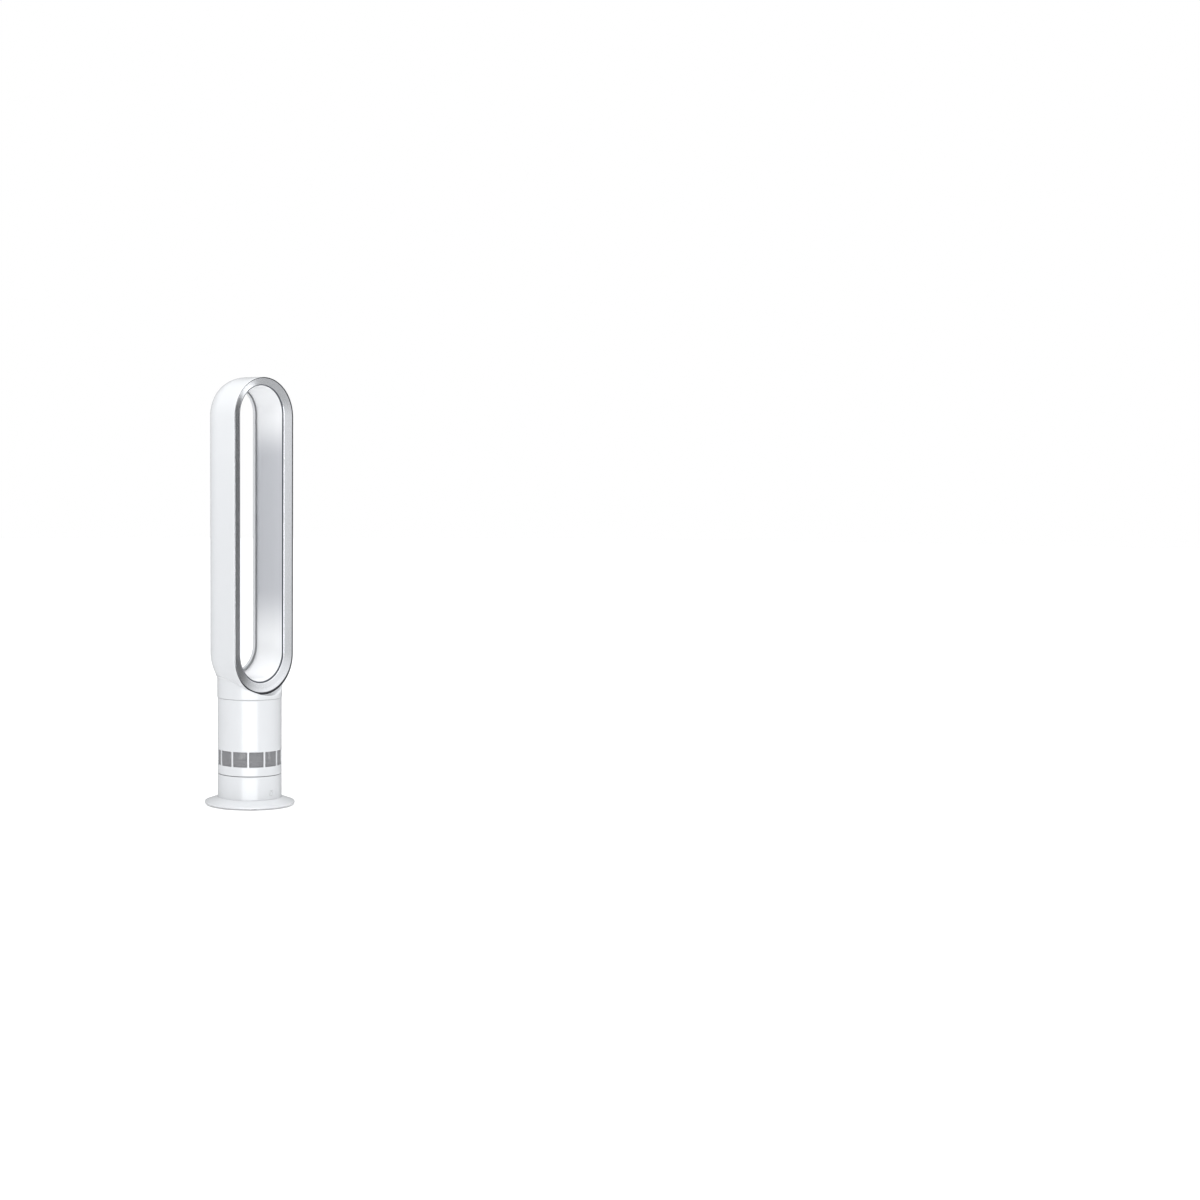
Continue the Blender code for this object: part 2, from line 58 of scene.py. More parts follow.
CASING_LOW, CASING_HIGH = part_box("loop_outer_casing")
BODY_LOW, BODY_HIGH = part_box("body_casing")
HOUSING_LOW, HOUSING_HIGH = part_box("lower_housing")
PLATE_LOW, PLATE_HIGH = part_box("base_plate")
NECK_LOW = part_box("neck_shell")[0]
BUTTON_LOW, BUTTON_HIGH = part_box("power_button")
MESH_LOW, MESH_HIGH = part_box("inlet_mesh")
COVER_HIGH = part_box("base_bottom_cover")[1]

BODY_R = BODY_HIGH.x                 # cylinder radius
BASE_R = PLATE_HIGH.x                # base plate radius
WALL = 2.2 * MM                      # shell thickness
LOOP_W = CASING_HIGH.x + 0.8 * MM    # half-width of the loop, with its soft edge
LOOP_TOP = CASING_HIGH.z
LOOP_BOTTOM = CASING_LOW.z
LOOP_FRONT = CASING_LOW.y
SHOULDER_Y = 8 * MM                  # the outer wall is flat from the front to here
REAR_REACH = LOOP_W - 62 * MM        # how far the curved rear wall runs inwards
REAR_DEPTH = 50 * MM                 # and backwards
RING_INNER_W = 67.1 * MM             # half-width at the ring's inner edge
RING_INNER_Y = -41.6 * MM            # depth of that edge
MOUTH_Y = 49 * MM                    # depth of the mouth's edge, behind
TOP_RATE = 0.731                     # how fast inner outlines sink at the top, per unit of inset
FRONT_RATE = 1.18                    # the same at the bottom, at the front
REAR_RATE = 1.535                    # and at the rear
SEAM = 0.9 * MM                      # extra gap at the two seams of the cylinder
WINDOWS = 12                         # inlet windows round the body
WINDOW_Z = (MESH_LOW.z + 5 * MM, MESH_HIGH.z - 5 * MM)
WINDOW_RIB = 4.3 * MM                # width of the rib between two windows
BUTTON_Z = (BUTTON_LOW.z + BUTTON_HIGH.z) / 2
BUTTON_R = 6.0 * MM                  # radius of the cap where it shows

ARC_STEPS = 56                       # steps in each half circle of the loop
SIDE_STEPS = 30                      # steps along each straight side
ROUND = 192                          # steps round the turned pieces

COAT_ROUGHNESS = 0.08
DRIFT_SCALE = 14.0                   # noise cells per metre of the slow drift
GLOSS_DRIFT = 0.15                   # share by which it moves the roughness, up and down


# ---- materials ----
def material(name, colour, roughness, metallic=0.0, grain=0.4, grain_mm=0.6, depth=0.15,
             mottle=0.03, coat=0.0, sheen=0.0, ends=None):
    """Moulded, painted or machined surface: fine grain in its bump, slow drift in tone and gloss.

    With ends, the colour runs to that paler one at the top and the bottom of the loop, a painted
    reflection.
    """
    made = bpy.data.materials.new(name)
    made.use_nodes = True
    nodes, links = made.node_tree.nodes, made.node_tree.links
    shader = nodes["Principled BSDF"]
    shader.inputs["Metallic"].default_value = metallic
    shader.inputs["Coat Weight"].default_value = coat
    shader.inputs["Coat Roughness"].default_value = COAT_ROUGHNESS
    shader.inputs["Sheen Weight"].default_value = sheen
    place = nodes.new("ShaderNodeTexCoord")

    drift = nodes.new("ShaderNodeTexNoise")
    drift.inputs["Scale"].default_value = DRIFT_SCALE
    drift.inputs["Detail"].default_value = 3.0
    links.new(place.outputs["Object"], drift.inputs["Vector"])
    tone = nodes.new("ShaderNodeMapRange")
    tone.inputs["To Min"].default_value = 1.0 - mottle
    tone.inputs["To Max"].default_value = 1.0
    links.new(drift.outputs["Fac"], tone.inputs["Value"])
    tint = nodes.new("ShaderNodeMix")
    tint.data_type = "RGBA"
    tint.blend_type = "MULTIPLY"
    tint.inputs["Factor"].default_value = 1.0
    tint.inputs["A"].default_value = (*colour, 1.0)
    if ends:
        reflected_colour = paint_reflection_at_ends(nodes, links, place.outputs["Object"], colour, ends)
        links.new(reflected_colour, tint.inputs["A"])
    links.new(tone.outputs["Result"], tint.inputs["B"])
    links.new(tint.outputs["Result"], shader.inputs["Base Color"])

    gloss = nodes.new("ShaderNodeMapRange")
    gloss.inputs["To Min"].default_value = roughness * (1 - GLOSS_DRIFT)
    gloss.inputs["To Max"].default_value = roughness * (1 + GLOSS_DRIFT)
    links.new(drift.outputs["Fac"], gloss.inputs["Value"])
    links.new(gloss.outputs["Result"], shader.inputs["Roughness"])

    fine = nodes.new("ShaderNodeTexNoise")
    fine.inputs["Scale"].default_value = 1.0 / (grain_mm * MM)
    fine.inputs["Detail"].default_value = 2.0
    links.new(place.outputs["Object"], fine.inputs["Vector"])
    bump = nodes.new("ShaderNodeBump")
    bump.inputs["Strength"].default_value = grain
    bump.inputs["Distance"].default_value = depth * grain_mm * MM
    links.new(fine.outputs["Fac"], bump.inputs["Height"])
    links.new(bump.outputs["Normal"], shader.inputs["Normal"])
    return made


def paint_reflection_at_ends(nodes, links, position, colour, ends):
    """Colour by height: one tone along the middle of the loop, a paler one at both ends as painted
    reflection.
    """
    split = nodes.new("ShaderNodeSeparateXYZ")
    links.new(position, split.inputs["Vector"])
    ramp = nodes.new("ShaderNodeValToRGB")
    reach = nodes.new("ShaderNodeMapRange")
    reach.inputs["From Min"].default_value = LOOP_BOTTOM
    reach.inputs["From Max"].default_value = LOOP_TOP
    links.new(split.outputs["Z"], reach.inputs["Value"])
    links.new(reach.outputs["Result"], ramp.inputs["Fac"])
    # shares of the loop's height: painted reflection full below the first and above the last, plain
    # tone between the middle two
    reflection_full_below, plain_from, plain_to, reflection_full_above = 0.16, 0.34, 0.74, 0.88
    stops = ramp.color_ramp.elements
    stops[0].position, stops[1].position = reflection_full_below, reflection_full_above
    stops[0].color = stops[1].color = (*ends, 1.0)
    for place in (plain_from, plain_to):
        stops.new(place).color = (*colour, 1.0)
    ramp.color_ramp.interpolation = "EASE"
    return ramp.outputs["Color"]


def make_materials():
    """Every finish of the fan by name; colours are linear."""
    made = {}

    def add(name, *values, **options):
        made[name] = material(name, *values, **options)

    add("white_shell", (0.69, 0.70, 0.715), 0.34, coat=0.8, grain=0.06, grain_mm=1.5)
    add("silver_ring", (0.84, 0.85, 0.875), 0.23, 0.9, grain=0.2, grain_mm=0.3)
    # inner surface: its paler top and bottom are a painted reflection
    add("inner_silver", (0.59, 0.60, 0.63), 0.22, 0.1, grain=0.1, coat=0.4,
        ends=(0.97, 0.975, 0.985))
    # outer trim: a dark joint, made darker still as painted shadow of the gap
    add("edge_trim", (0.018, 0.018, 0.024), 0.45, grain=0.2)
    add("inner_trim", (0.07, 0.075, 0.09), 0.40, grain=0.2)
    add("inlet_mesh", (0.27, 0.27, 0.28), 0.50, 0.1, grain=0.2, grain_mm=0.25)
    add("button", (0.70, 0.71, 0.72), 0.34, coat=0.3, grain=0.15)
    add("button_mark", (0.20, 0.21, 0.23), 0.45, grain=0.2)
    add("dark_plastic", (0.035, 0.035, 0.038), 0.55, grain=0.6)
    add("grey_plastic", (0.16, 0.165, 0.17), 0.50, grain=0.5)
    add("rubber", (0.02, 0.02, 0.021), 0.80, grain=0.7, grain_mm=0.4, sheen=0.2)
    add("foam", (0.03, 0.03, 0.032), 0.95, grain=1.0, grain_mm=1.6, depth=0.5, mottle=0.3)
    add("steel", (0.52, 0.53, 0.54), 0.32, 1.0, grain=0.25, grain_mm=0.3)
    add("copper", (0.68, 0.33, 0.17), 0.35, 1.0, grain=0.9, grain_mm=0.9, depth=0.4)
    add("acetal", (0.72, 0.70, 0.64), 0.42, grain=0.3)
    add("board", (0.015, 0.11, 0.04), 0.40, grain=0.4, mottle=0.25)
    return made


# ---- mesh helpers ----
def rounded(points, steps=6):
    """Corners of (x, y, radius) as a list of (x, y), each corner turned into an arc."""
    made = []
    count = len(points)
    for i, (x, y, radius) in enumerate(points):
        here = Vector((x, y))
        before = Vector(points[i - 1][:2]) - here
        after = Vector(points[(i + 1) % count][:2]) - here
        if radius <= 0 or before.length == 0 or after.length == 0:
            made.append((x, y))
            continue
        half = before.angle(after) / 2
        reach = min(radius / math.tan(half), before.length * 0.49, after.length * 0.49)
        start = here + before.normalized() * reach
        end = here + after.normalized() * reach
        for k in range(steps + 1):
            t = k / steps
            point = start * (1 - t) ** 2 + here * 2 * t * (1 - t) + end * t ** 2
            made.append((point.x, point.y))
    return made


def grid_mesh(name, rows, look, closed_rows=True, closed_columns=True, sharp=40):
    """Skin a grid of points, rows by columns by 3; a closed side joins its last to its first."""
    rows = np.asarray(rows, dtype=float)
    count, width = rows.shape[:2]
    i = np.arange(count if closed_rows else count - 1)
    k = np.arange(width if closed_columns else width - 1)
    i, k = np.meshgrid(i, k, indexing="ij")
    after, beside = (i + 1) % count, (k + 1) % width
    quads = np.stack([i * width + k, i * width + beside,
                      after * width + beside, after * width + k], -1)
    mesh = bpy.data.meshes.new(name)
    mesh.from_pydata(rows.reshape(-1, 3).tolist(), [], quads.reshape(-1, 4).tolist())
    mesh.materials.append(look)
    return show(name, mesh, sharp)


def show(name, mesh, sharp=40):
    """Put a mesh in the scene, smooth between sharp edges; a closed one has its faces outwards."""
    work = bmesh.new()
    work.from_mesh(mesh)
    bmesh.ops.recalc_face_normals(work, faces=work.faces)
    work.to_mesh(mesh)
    work.free()
    mesh.shade_smooth()
    mesh.set_sharp_from_angle(angle=math.radians(sharp))
    item = bpy.data.objects.new(name, mesh)
    bpy.context.scene.collection.objects.link(item)
    return item


def show_work(name, work, look):
    """Turn a bmesh into a piece of one material, and free it."""
    mesh = bpy.data.meshes.new(name)
    work.to_mesh(mesh)
    work.free()
    mesh.materials.append(look)
    return show(name, mesh)


def settle(item, body, slot, *nodes):
    """Ride the piece on its body and hide the CAD nodes that it stands for; slot is not used."""
    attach(item, body)
    if nodes:
        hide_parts(*nodes)
    return item


def lathe(name, section, look, steps=ROUND, sharp=40):
    """Turn a closed section of (radius, height) points round the Z axis."""
    turn = np.linspace(0, 2 * math.pi, steps, endpoint=False)
    rows = [[(radius * math.cos(a), radius * math.sin(a), height) for a in turn]
            for radius, height in section]
    return grid_mesh(name, rows, look, sharp=sharp)


def add_wall(item, thickness):
    """Give a skin its wall, on the back of its faces."""
    wall = item.modifiers.new("wall", "SOLIDIFY")
    wall.thickness = thickness
    wall.offset = -1


def thicken(item, thickness, edge):
    """Give a skin its wall, and round its edges."""
    add_wall(item, thickness)
    bevel = item.modifiers.new("edges", "BEVEL")
    bevel.width = edge
    bevel.segments = 2
    bevel.limit_method = "ANGLE"
    bevel.angle_limit = math.radians(50)
    bevel.harden_normals = False


def wrap(radius, across, height):
    """Point on a cylinder: distance round it from the front, and height."""
    angle = across / radius
    return (radius * math.sin(angle), -radius * math.cos(angle), height)


def body_vertices(work):
    """Maker of vertices on the body's cylinder, the same one again for the same place."""
    round_trip = 2 * math.pi * BODY_R
    known = {}

    def vertex(across, height):
        key = (round(across % round_trip * 1e6) % round(round_trip * 1e6), round(height * 1e7))
        if key not in known:
            known[key] = work.verts.new(wrap(BODY_R, across, height))
        return known[key]

    return vertex


# ---- the loop's outline ----
def bottom_rate(depth):
    """How fast inner outlines rise at the bottom: more at the rear than at the front."""
    share = (depth - RING_INNER_Y) / (MOUTH_Y - RING_INNER_Y)
    return FRONT_RATE + (REAR_RATE - FRONT_RATE) * np.clip(share, 0.0, 1.0)


def outline(half_width, depth, lift=0.0):
    """Upright slot outline of one half-width at one depth, its lowest point raised by lift."""
    inset = LOOP_W - half_width
    high = LOOP_TOP - inset * TOP_RATE - half_width
    low = LOOP_BOTTOM + inset * bottom_rate(depth) + half_width
    points = []
    for centre, start in ((high, 0), (low, 180)):
        for k in range(ARC_STEPS + 1):
            angle = math.radians(start + 180 * k / ARC_STEPS)
            rise = half_width if start == 0 else half_width - lift
            points.append((half_width * math.cos(angle), depth, centre + rise * math.sin(angle)))
        side = points[-1][0]
        begin, end = (high, low) if start == 0 else (low, high)
        for k in range(1, SIDE_STEPS):
            points.append((side, depth, begin + (end - begin) * k / SIDE_STEPS))
    return points


def loft(name, section, look):
    """Sweep a closed section round the loop; its points are (half-width, depth[, lift])."""
    return grid_mesh(name, [outline(*point) for point in section], look)


def rear_wall(start, end, steps, thickness=0.0):
    """Points of the curved rear wall between two angles of its quarter ellipse, in degrees."""
    points = []
    for k in range(steps + 1):
        angle = math.radians(start + (end - start) * k / steps)
        points.append((LOOP_W - REAR_REACH + (REAR_REACH - thickness) * math.cos(angle),
                       SHOULDER_Y + (REAR_DEPTH - thickness) * math.sin(angle)))
    return points


def arc(centre, radius, start, end, steps):
    """Points of a circle's arc between two angles, in degrees."""
    angles = [math.radians(start + (end - start) * k / steps) for k in range(steps + 1)]
    return [(centre[0] + radius * math.cos(angle), centre[1] + radius * math.sin(angle))
            for angle in angles]


def smooth(points, steps):
    """Catmull-Rom curve through the points, with this many steps between each two."""
    ends = [points[0]] + list(points) + [points[-1]]
    made = []
    for a, b, c, d in zip(ends, ends[1:], ends[2:], ends[3:]):
        for k in range(steps):
            t = k / steps
            made.append(tuple(0.5 * (2 * q + (r - p) * t + (2 * p - 5 * q + 4 * r - s) * t ** 2
                                     + (3 * q - p - 3 * r + s) * t ** 3)
                              for p, q, r, s in zip(a, b, c, d)))
    made.append(points[-1])
    return made


def make_loop(looks):
    """Outer casing with its rolled lip, and the air-guiding surface inside it."""
    front_edge = 1.9 * MM                # radius of the casing's front edge
    groove = LOOP_W - 0.95 * MM          # half-width of the groove for the ring's trim
    nose_end = 85.5                      # angle at which the rear wall turns into the lip
    nose_r = 2.6 * MM                    # radius of the lip's nose
    last = rear_wall(0, nose_end, 1)[-1]
    tilt = math.atan2(math.sin(math.radians(nose_end)) / REAR_DEPTH,
                      math.cos(math.radians(nose_end)) / REAR_REACH)
    nose = (last[0] - nose_r * math.cos(tilt), last[1] - nose_r * math.sin(tilt))
    lip = nose[0] - nose_r

    section = arc((LOOP_W - front_edge, LOOP_FRONT + front_edge), front_edge, -63, 0, 8)
    section += [(LOOP_W, y * MM) for y in (-30, -10)]
    section += rear_wall(0, nose_end, 36)
    section += arc(nose, nose_r, math.degrees(tilt) + 12, 180, 10)
    section += [(lip, 52.0 * MM), (lip, 49.5 * MM)]
    section += arc((lip + 0.5 * MM, 49.5 * MM), 0.5 * MM, 180, 360, 6)
    section += [(lip + 1.1 * MM, 53.0 * MM), (lip + 2.2 * MM, 55.0 * MM)]
    section += rear_wall(76, 0, 20, WALL)
    section += [(LOOP_W - WALL, -20 * MM), (LOOP_W - WALL, LOOP_FRONT + 3.0 * MM)]
    section += [(groove, LOOP_FRONT + 1.6 * MM)]
    casing = loft("loop_outer_shell", section, looks["white_shell"])
    settle(casing, "tower", "white_shell", "loop_outer_casing")

    front = (RING_INNER_Y + 2.3 * MM) / MM
    stations = [(67.1, front + 0.8), (66.4, -26), (65.4, -13), (64.6, 2), (64.0, 15),
                (63.8, 26), (64.1, 33), (64.8, 39), (65.9, 44.5), (67.0, 48.3)]
    stations = [(w * MM, y * MM) for w, y in stations]
    rear_edge = 0.9 * MM
    thickness = 1.9 * MM
    guide = [(67.5 * MM, front * MM)] + smooth(stations, 6)
    guide += arc((guide[-1][0] + rear_edge, guide[-1][1]), rear_edge, 165, 20, 5)
    back = [(w + thickness, y) for w, y in smooth(stations[-2::-1], 3)]
    inner = loft("loop_inner_surface", guide + back, looks["inner_silver"])
    settle(inner, "tower", "inner_silver", "loop_inner_casing")


def make_front_ring(looks):
    """Satin ring with a dark trim in the groove at its outer edge, partly painted shadow, and along
    its inner edge.
    """
    outer_w = LOOP_W - 1.0 * MM
    trim = 2.5 * MM                      # width of the outer trim
    seal = 2.8 * MM                      # width of the inner trim
    crown_height = 0.2 * MM
    set_back = 0.15 * MM                 # how far the face lies behind the casing's front edge
    # the outer trim shows broader towards the loop's lowest point: painted shadow of the gap at the
    # neck
    painted_shadow_lift, painted_shadow_fade = 3.0 * MM, 9 * MM
    back = 2.0 * MM                      # thickness of the ring

    def face(width):
        """Depth of the ring's sloping face at a half-width, slightly crowned."""
        share = (LOOP_W - width) / (LOOP_W - RING_INNER_W)
        crown = crown_height * 4 * share * (1 - share)
        return LOOP_FRONT + (RING_INNER_Y - LOOP_FRONT) * share - crown + set_back

    start = outer_w - trim
    end = RING_INNER_W + seal

    def lifted(width, behind=0.0):
        """Section point at the face; the trim is broader under the loop's lowest point, as painted
        shadow.
        """
        lift = painted_shadow_lift * max(0.0, 1 - max(0.0, start - width) / painted_shadow_fade)
        return width, face(width) + behind, lift

    widths = [start + (end - start) * k / 14 for k in range(15)]
    silver = [lifted(start, 1.2 * MM), lifted(start, 0.4 * MM), lifted(start - 0.4 * MM)]
    silver += [lifted(w) for w in widths[1:-1] + [end + 0.4 * MM]]
    silver += [lifted(end, 0.4 * MM), lifted(end, back), lifted(start, back)]
    ring = loft("front_ring_face", silver, looks["silver_ring"])
    settle(ring, "tower", "silver_ring", "front_ring")

    sunk = 0.5 * MM                      # depth of the trims below the ring's face
    outer_deep, inner_deep = 1.6 * MM, 2.6 * MM
    near = start - 0.1 * MM
    outer = [(outer_w, face(outer_w) + outer_deep), (outer_w, face(outer_w) + sunk + 0.1 * MM),
             (outer_w - 0.3 * MM, face(outer_w) + sunk)]
    outer += [(*point, painted_shadow_lift) for point in (
        (start + 0.2 * MM, face(start) + sunk), (near, face(start) + sunk + 0.1 * MM),
        (near, face(start) + outer_deep))]
    # the dark joint in the groove, which also carries the painted shadow of the gap
    settle(loft("ring_outer_trim", outer, looks["edge_trim"]), "tower", "dark_plastic")
    low = RING_INNER_W
    high = end + 0.05 * MM
    inner = rounded([(high, face(end) + 1.8 * MM, 0), (high, face(end) + sunk, 0.3 * MM),
                     (low, face(low) + 0.25 * MM, 0.9 * MM),
                     (low, face(low) + inner_deep, 0.3 * MM),
                     (high, face(end) + inner_deep, 0)], 5)
    settle(loft("ring_inner_trim", inner, looks["inner_trim"]), "tower", "dark_plastic")


# ---- neck, grown out of the loop ----
def equivalent_width(x, y, z):
    """Half-width of the outline that passes through each point, in the loop's lower part."""
    rate = bottom_rate(y)
    base = LOOP_BOTTOM + LOOP_W * rate
    a = 1 - (1 - rate) ** 2
    b = (z - base) * (1 - rate)
    c = x ** 2 + (z - base) ** 2
    width = (-b + np.sqrt(np.maximum(b ** 2 + a * c, 0))) / a
    above = z > base + width * (1 - rate)
    return np.where(above, np.abs(x), width)


def wall_distance(width, y):
    """Distance of (equivalent width, depth) from the loop's outer wall, positive outside."""
    u = np.maximum(width - (LOOP_W - REAR_REACH), 1e-6)
    v = np.maximum(y - SHOULDER_Y, 0)
    level = np.sqrt((u / REAR_REACH) ** 2 + (v / REAR_DEPTH) ** 2)
    slope = np.sqrt((u / REAR_REACH ** 2) ** 2 + (v / REAR_DEPTH ** 2) ** 2) / level
    return np.where(y > SHOULDER_Y, (level - 1) / slope, width - LOOP_W)


def soft_min(a, b, reach):
    """The smaller of two values, rounded off where they are within reach of each other."""
    share = np.maximum(reach - np.abs(a - b), 0) / reach
    return np.minimum(a, b) - share ** 2 * reach / 4


LEDGE_W = rear_wall(72, 72, 1)[0][0]     # outline that the neck's top follows behind the loop
LEAST_BLEND = 0.5 * MM                   # reach of the blend at the front and the rear


def step_up(value, low, high):
    """0 below low, 1 above high, smooth between."""
    share = np.clip((value - low) / (high - low), 0, 1)
    return share * share * (3 - 2 * share)


def blend_reach(y):
    """How far the neck and the loop flow into each other: widest at the sides, towards the rear."""
    side = step_up(y, LOOP_FRONT + 1 * MM, LOOP_FRONT + 26 * MM) * step_up(-y, -53 * MM, -34 * MM)
    rear = step_up(y, -10 * MM, 12 * MM)
    at_side, more_at_rear = 0.5, 2.6
    return LEAST_BLEND + (at_side + more_at_rear * rear) * MM * side


def neck_field(points):
    """Signed distance-like value of the loop and neck together, positive outside."""
    x, y, z = points[..., 0], points[..., 1], points[..., 2]
    width = equivalent_width(x, y, z)
    wall = wall_distance(width, y)
    loop = np.maximum(wall, LOOP_FRONT - y)
    scoop = np.minimum(wall, width - LEDGE_W)
    neck = -soft_min(-(np.hypot(x, y) - BODY_R), scoop, 2.4 * MM)
    return soft_min(neck, loop, blend_reach(y))


def project(points, rounds=12):
    """Move points along the field's gradient onto its zero surface."""
    step, least_slope, longest_move = 0.02 * MM, 0.2, 1.0 * MM
    for _ in range(rounds):
        value = neck_field(points)
        slope = np.stack([(neck_field(points + d) - neck_field(points - d)) / (2 * step)
                          for d in np.eye(3) * step], -1)
        size = np.maximum((slope ** 2).sum(-1), least_slope)
        move = -slope * (value / size)[..., None]
        length = np.linalg.norm(move, axis=-1, keepdims=True)
        points = points + move * np.minimum(1, longest_move / np.maximum(length, 1e-9))
    return points


def surface_width(y):
    """Half-width of the outline that the neck's top follows at a depth."""
    v = np.clip((y - SHOULDER_Y) / REAR_DEPTH, 0, 1)
    return np.maximum(LOOP_W - REAR_REACH + REAR_REACH * np.sqrt(1 - v ** 2), LEDGE_W)


def on_surface(along, y):
    """Point on the neck's top outline: distance along its lower arc from the middle, and depth."""
    width = surface_width(y)
    angle = along / width
    centre = LOOP_BOTTOM + (LOOP_W - width) * bottom_rate(y) + width
    return np.stack([width * np.sin(angle), y, centre - width * np.cos(angle)], -1)


def make_neck(looks):
    """Skin from the seam over the body up to the loop, and a little way along its wall."""
    steps = 320
    turn = np.linspace(0, 2 * math.pi, steps, endpoint=False)

    def circle(radius, height):
        return np.stack([radius * np.cos(turn), radius * np.sin(turn), np.full(steps, height)], -1)

    x, y = BODY_R * np.cos(turn), BODY_R * np.sin(turn)
    along = surface_width(y) * np.arcsin(np.clip(x / surface_width(y), -1, 1))
    rim = on_surface(along, y)

    # how far the skin runs on past the rim, along the loop and in depth
    inside_front = LOOP_FRONT + 0.6 * MM
    inside_rear = 52.0 * MM
    front = np.maximum(inside_front - y, 0)
    rear = np.minimum(inside_rear - y, 0)
    side = 2.0 * MM + 1.9 * (blend_reach(y) - LEAST_BLEND)
    side = np.where((front > 0) | (rear < 0), 0, side)
    reach_along = side * np.cos(turn)
    reach_y = side * np.sin(turn) + front + rear
    end_y = np.clip(y + reach_y, inside_front, None)

    foot = NECK_LOW.z + SEAM / 2
    edge = 0.5 * MM
    rows = [circle(BODY_R - WALL, foot + 5 * MM), circle(BODY_R - WALL, foot),
            circle(BODY_R - edge, foot)]
    for angle in (math.radians(90 * k / 4) for k in range(1, 4)):
        rows.append(circle(BODY_R - edge * (1 - math.sin(angle)),
                           foot + edge * (1 - math.cos(angle))))

    upwards, outwards = 30, 26           # steps up the neck, and on past the rim
    bottom = circle(BODY_R, foot + edge)
    shares = [1 - (1 - k / upwards) ** 1.5 for k in range(upwards + 1)]
    grown = [bottom + (rim - bottom) * share for share in shares]
    grown += [on_surface(along + reach_along * k / outwards, y + (end_y - y) * k / outwards)
              for k in range(1, outwards + 1)]
    grown = project(np.array(grown))
    rows += list(grown)

    # the last row sinks into the loop, towards a point on the loop's axis
    axis_z, sink_depth = 640 * MM, 1.6 * MM
    sink = grown[-1]
    towards = np.array([0, 0, axis_z]) - sink
    towards /= np.linalg.norm(towards, axis=-1, keepdims=True)
    rows.append(sink + towards * sink_depth)
    neck = grid_mesh("neck_shell_skin", rows, looks["white_shell"], closed_rows=False, sharp=50)
    add_wall(neck, 1.2 * MM)             # this skin's faces point inwards: the wall lies outside it
    settle(neck, "tower", "white_shell", "neck_shell")


# ---- body, with its windows and inlet mesh ----
def make_body(looks):
    """Cylinder of repeated window cells; each window has round corners."""
    low, high = BODY_LOW.z + SEAM / 2, BODY_HIGH.z - SEAM / 2
    cell = 2 * math.pi * BODY_R / WINDOWS
    corner = 1.3 * MM
    corner_steps, window_columns, upper_rows = 6, 12, 8
    left, right = WINDOW_RIB / 2, cell - WINDOW_RIB / 2
    bottom, top = WINDOW_Z
    columns = [0, left]
    columns += [left + corner + (right - left - 2 * corner) * k / window_columns
                for k in range(window_columns + 1)]
    columns += [right, cell]
    levels = [low, low + 3 * MM, low + 10 * MM, bottom - 4 * MM, bottom, bottom + corner,
              top - corner, top, top + 4 * MM]
    levels += [top + 4 * MM + (high - top - 8 * MM) * k / upper_rows
               for k in range(1, upper_rows + 1)]
    levels += [high]
    corners = ((left, bottom, 1, 1, 180), (right, bottom, -1, 1, 270),
               (right, top, -1, -1, 0), (left, top, 1, -1, 90))
    work = bmesh.new()
    vertex = body_vertices(work)

    def face(*points):
        work.faces.new([vertex(*point) for point in points])

    for w in range(WINDOWS):
        start = (w - 0.5) * cell
        for c0, c1 in zip(columns, columns[1:]):
            for z0, z1 in zip(levels, levels[1:]):
                beside = left <= c0 and c1 <= right
                within = bottom <= z0 and z1 <= top
                if not (beside and within):
                    face((start + c0, z0), (start + c1, z0), (start + c1, z1), (start + c0, z1))
        for x, z, inwards, upwards, first in corners:
            cx, cz = x + inwards * corner, z + upwards * corner
            angles = [math.radians(first + 90 * k / corner_steps)
                      for k in range(corner_steps + 1)]
            round_off = [(start + cx + corner * math.cos(angle), cz + corner * math.sin(angle))
                         for angle in angles]
            for a, b in zip(round_off, round_off[1:]):
                face((start + x, z), a, b)
    body = show_work("body_casing_skin", work, looks["white_shell"])
    thicken(body, WALL, 0.35 * MM)
    settle(body, "tower", "white_shell", "body_casing")


def make_inlet_mesh(looks):
    """Perforated sleeve: staggered rows of six-sided cells, each with its own hole."""
    radius = MESH_HIGH.x
    count = 198                          # cells round the sleeve
    hole = 0.44                          # size of a hole, as a share of its cell
    pitch = 2 * math.pi * radius / count
    side = pitch / math.sqrt(3)
    rise = 1.5 * side
    low = MESH_LOW.z + side
    rows = int((MESH_HIGH.z - MESH_LOW.z - 2 * side) / rise) + 1
    parts = 24                           # a cell's corners fall on whole parts of its size
    work = bmesh.new()
    known = {}

    def vertex(across, height):
        key = (round(across / pitch * parts) % (count * parts),
               round((height - low) / side * parts))
        if key not in known:
            known[key] = work.verts.new(wrap(radius, across, height))
        return known[key]

    for row in range(rows):
        for column in range(count):
            cx = (column + (0.5 if row % 2 else 0)) * pitch
            cz = low + row * rise
            rim, inner = [], []
            for k in range(6):
                angle = math.radians(30 + 60 * k)
                rim.append(vertex(cx + side * math.cos(angle), cz + side * math.sin(angle)))
                inner.append(work.verts.new(wrap(radius, cx + hole * side * math.cos(angle),
                                                 cz + hole * side * math.sin(angle))))
            for k in range(6):
                n = (k + 1) % 6
                work.faces.new((rim[k], rim[n], inner[n], inner[k]))
    sheet = show_work("inlet_mesh_sheet", work, looks["inlet_mesh"])
    add_wall(sheet, 0.5 * MM)
    settle(sheet, "tower", "inlet_mesh", "inlet_mesh")


